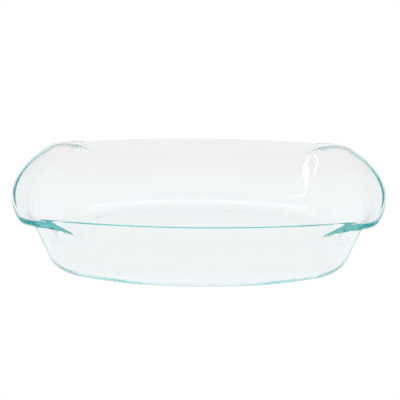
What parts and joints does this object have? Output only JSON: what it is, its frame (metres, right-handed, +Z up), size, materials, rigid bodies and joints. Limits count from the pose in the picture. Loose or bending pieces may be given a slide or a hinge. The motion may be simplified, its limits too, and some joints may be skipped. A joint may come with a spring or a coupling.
{
  "type": "glass baking dish",
  "caption": "Shallow oblong clear glass baking dish with large corners, a rounded rim and a wide flat handle tab pressed in one at each end.",
  "frame": {"origin": "on the table under the middle of the dish, in the plane of the foot ring", "axes": "+Z up out of the dish, +X along the long side toward one handle tab, +Y across the dish"},
  "size_m": [0.3704, 0.2282, 0.074],
  "materials": {
    "clear_glass": "clear pressed glass, glossy, pale aqua where it is thick"
  },
  "bodies": {
    "root": {"glass_dish": "clear_glass"}
  },
  "joints": []
}
